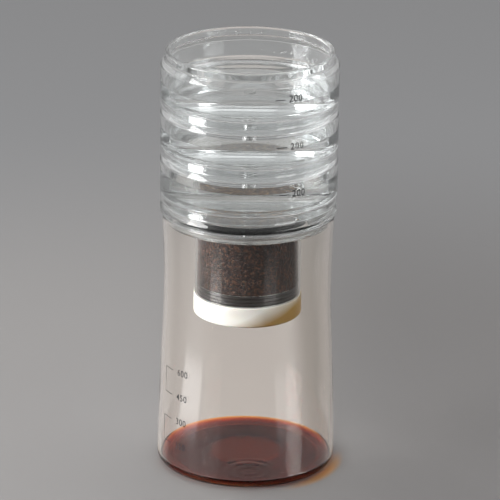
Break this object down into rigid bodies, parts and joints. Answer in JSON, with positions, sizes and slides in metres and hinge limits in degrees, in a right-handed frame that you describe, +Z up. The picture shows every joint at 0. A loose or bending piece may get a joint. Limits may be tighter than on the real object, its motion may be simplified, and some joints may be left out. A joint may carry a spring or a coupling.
{
  "type": "cold drip coffee tower",
  "caption": "Stacked clear water modules over a brew chamber with a coffee bed and white filter cap, standing in the mouth of a waisted glass carafe.",
  "frame": {"origin": "centre of the carafe's foot, on the surface it stands on", "axes": "+Z up along the tower's axis; -Y is the front, where the printed scales face left and right of it"},
  "size_m": [0.1136, 0.1136, 0.2737],
  "materials": {
    "glass": "clear borosilicate glass, fire-polished rim",
    "clear_plastic": "clear moulded plastic, polished",
    "clear_silicone": "translucent silicone",
    "dark_silicone": "dark silicone, matt",
    "white_plastic": "cream-white moulded plastic, satin, slightly translucent",
    "nozzle_plastic": "clear moulded plastic, fine bore",
    "water": "clear water",
    "coffee": "dark brewed coffee, amber where thin",
    "grounds": "wet ground coffee, granular",
    "paper": "wet filter paper"
  },
  "bodies": {
    "carafe": {"carafe": "glass", "brewed_coffee": "coffee"},
    "brew_chamber": {"brew_chamber": "clear_plastic", "carafe_seal": "clear_silicone", "coffee_grounds": "grounds"},
    "filter_cap": {"filter_cap": "white_plastic", "filter_cap_seal": "dark_silicone", "filter_paper": "paper"},
    "water_module_bottom": {"water_module_bottom": "clear_plastic", "nozzle_seal_bottom": "clear_silicone", "drip_nozzle_bottom": "nozzle_plastic", "water_bottom": "water"},
    "water_module_middle": {"water_module_middle": "clear_plastic", "nozzle_seal_middle": "clear_silicone", "drip_nozzle_middle": "nozzle_plastic", "water_middle": "water"},
    "water_module_top": {"water_module_top": "clear_plastic", "nozzle_seal_top": "clear_silicone", "drip_nozzle_top": "nozzle_plastic", "water_top": "water"}
  },
  "joints": [
    {"name": "brew_chamber_lift", "type": "slide", "parent": "carafe", "child": "brew_chamber", "axis": [0, 0, 1], "range_m": [0, 0.08]},
    {"name": "filter_cap_pull", "type": "slide", "parent": "brew_chamber", "child": "filter_cap", "axis": [0, 0, -1], "range_m": [0, 0.02]},
    {"name": "bottom_module_lift", "type": "slide", "parent": "brew_chamber", "child": "water_module_bottom", "axis": [0, 0, 1], "range_m": [0, 0.03]},
    {"name": "middle_module_lift", "type": "slide", "parent": "water_module_bottom", "child": "water_module_middle", "axis": [0, 0, 1], "range_m": [0, 0.03]},
    {"name": "top_module_lift", "type": "slide", "parent": "water_module_middle", "child": "water_module_top", "axis": [0, 0, 1], "range_m": [0, 0.03]}
  ]
}
